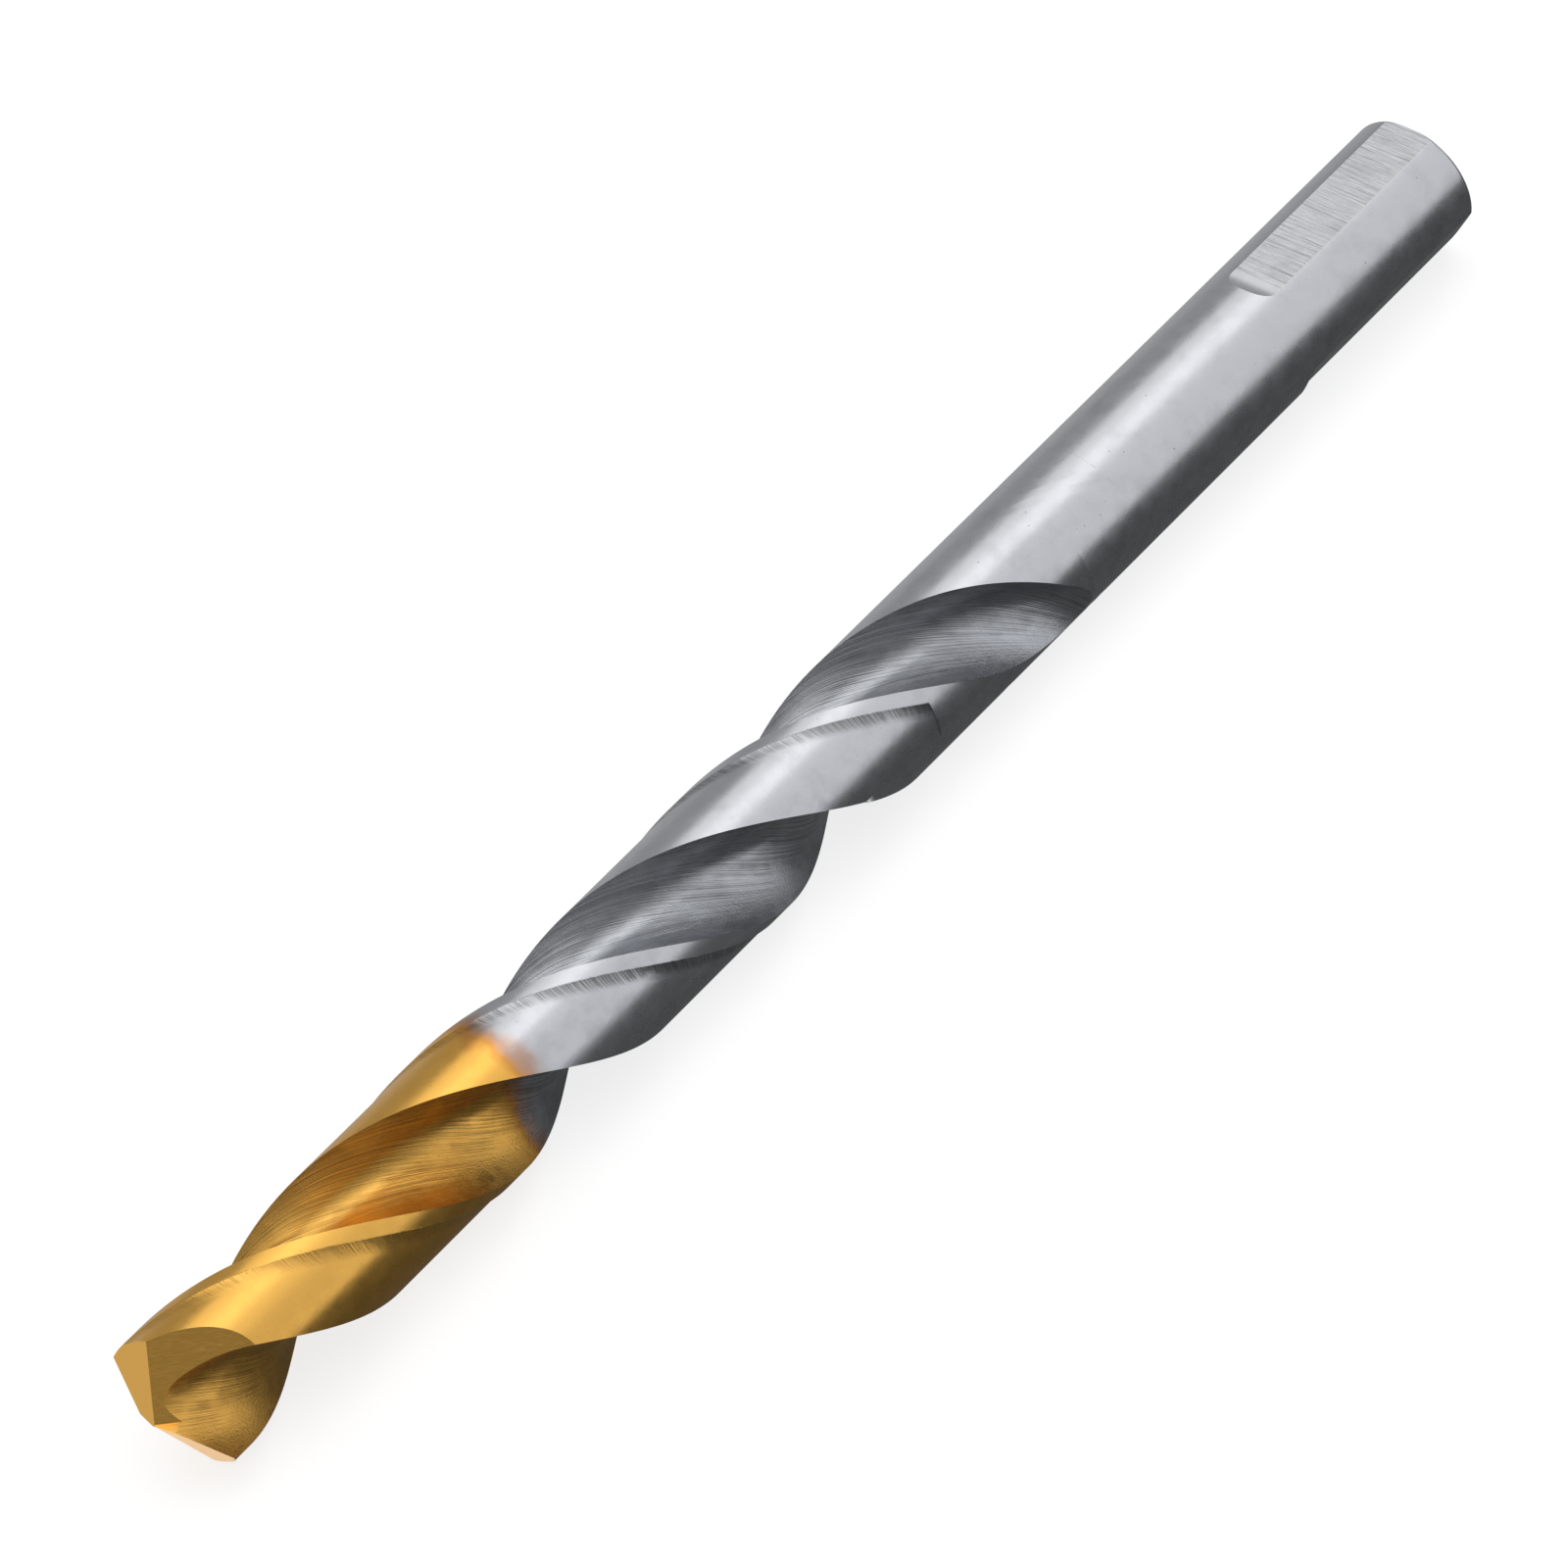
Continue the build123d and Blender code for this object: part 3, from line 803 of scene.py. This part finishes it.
# %% Floor and cards
CARD_UP, OVER_CARD_UP = 5e-5, 6e-5      # heights of the cards above the floor, in metres
FRONT_EDGE = -0.0637                    # where the front card takes over from the dark one
FAR, FLOOR_HALF = 2.0, 3.0              # outer ends of the cards and of the floor, in metres


def long_sheet(name, near, far, low, high, left, right, colour, glow):
    """Matt sheet along X: from y = near at height low to y = far at height high, off the drill."""
    mesh = bpy.data.meshes.new(name)
    corners = [(left, near, low), (right, near, low), (right, far, high), (left, far, high)]
    mesh.from_pydata(corners, [], [(0, 1, 2, 3)])
    made = bpy.data.materials.new(name + "_matt")
    made.use_nodes = True
    feed(made.node_tree, made.node_tree.nodes["Principled BSDF"], {
        "Base Color": linear(colour), "Roughness": 0.9, "Specular IOR Level": 0.1,
        "Emission Color": (1, 1, 1, 1), "Emission Strength": glow,
    })
    mesh.materials.append(made)
    sheet = bpy.data.objects.new(name, mesh)
    bpy.context.scene.collection.objects.link(sheet)
    return sheet


long_sheet("floor", -FLOOR_HALF, FLOOR_HALF, 0, 0, -FLOOR_HALF, FLOOR_HALF, "#A0A0A0", 0.78)
cards = [
    long_sheet("dark_card", -FAR, 0.002, CARD_UP, CARD_UP, FRONT_EDGE, FAR, "#101112", 0.07),
    long_sheet("grey_card", 0.008, FAR, CARD_UP, CARD_UP, -FAR, FAR, "#404040", 0.42),
    long_sheet("front_card", 0.004, FAR, OVER_CARD_UP, OVER_CARD_UP, -FAR, FRONT_EDGE,
               "#404040", 0.62),
    long_sheet("grey_flag", -0.9, -0.9, 0.0, 0.75, -FAR, 0.2, "#202020", 0.20),
]
for card in cards:
    for ray in ("camera", "diffuse", "transmission", "volume_scatter", "shadow"):
        setattr(card, "visible_" + ray, False)
print("1 floor and", len(cards), "cards")

# %% [markdown]
# ## Light
# Long soft panels run parallel to the drill. A narrow bright one overhead gives the streak along
# the bar, its neighbour the shoulder beside it, and a broad dimmer one the even light grey. A small
# one fills in over the point. A grey surround lights what the panels leave.


# %% Light panels and surround
def panel(name, first, last, brightness, left, right, tint="#FFFFFF", distance=0.8):
    """Soft panel parallel to the drill, from one angle about its axis to another, facing it.

    Its width is 2 x distance x tan(half of that angle), and its power 4 x area x brightness."""
    around, width = (first + last) / 2, 2 * distance * tan(radians(last - first) / 2)
    lamp = bpy.data.lights.new(name, "AREA")
    lamp.shape, lamp.size, lamp.size_y = "RECTANGLE", right - left, width
    lamp.energy = 4 * (right - left) * width * brightness
    lamp.color = linear(tint)[:3]
    out = np.array([0, cos(radians(around)), sin(radians(around))])
    side = np.cross(out, [1, 0, 0])
    matrix = np.eye(4)
    matrix[:3, 0], matrix[:3, 1], matrix[:3, 2] = (1, 0, 0), side, out
    matrix[:3, 3] = distance * out + [(left + right) / 2, 0, CUT_R * MM]
    holder = bpy.data.objects.new(name, lamp)
    holder.matrix_world = Matrix(matrix.tolist())
    holder.visible_camera = False
    bpy.context.scene.collection.objects.link(holder)
    print(name, "is", round(width, 2), "m wide")


panel("streak_panel", 71, 97, 0.92, -0.32, 1.60)
panel("shoulder_panel", 48, 71, 0.60, -0.20, 1.60)
panel("broad_panel", 97, 177, 0.44, 0.27, 1.90, "#FAFBFF")
panel("fill_panel", 98, 122, 0.42, -0.34, 0.27)

world = bpy.data.worlds.new("grey_tent")
world.use_nodes = True
feed(world.node_tree, world.node_tree.nodes["Background"],
     {"Color": linear("#FFFFFF"), "Strength": 0.38})
bpy.context.scene.world = world
bpy.context.scene.view_settings.view_transform = "Standard"

# %% [markdown]
# ## Camera
# A long lens keeps the drill's sides nearly parallel. It looks down from the front left, from about
# 0.6 m away, at the middle of the drill, and is rolled so that the drill lies along the diagonal.

# %% Camera
CAMERA_AT = Vector((-0.30362, -0.306397, 0.440895))
AIM = Vector((-2.277, 1.093, CUT_R)) * MM
ROLL = radians(-9.791)
lens = bpy.data.cameras.new("long_lens")
lens.sensor_width, lens.lens = 36.0, 215.58
camera = bpy.data.objects.new("camera", lens)
facing = (AIM - CAMERA_AT).to_track_quat("-Z", "Y").to_matrix().to_4x4()
camera.matrix_world = Matrix.Translation(CAMERA_AT) @ facing @ Matrix.Rotation(ROLL, 4, "Z")
bpy.context.scene.collection.objects.link(camera)
bpy.context.scene.camera = camera
print("the camera is", round((AIM - CAMERA_AT).length, 3), "m from its aim")
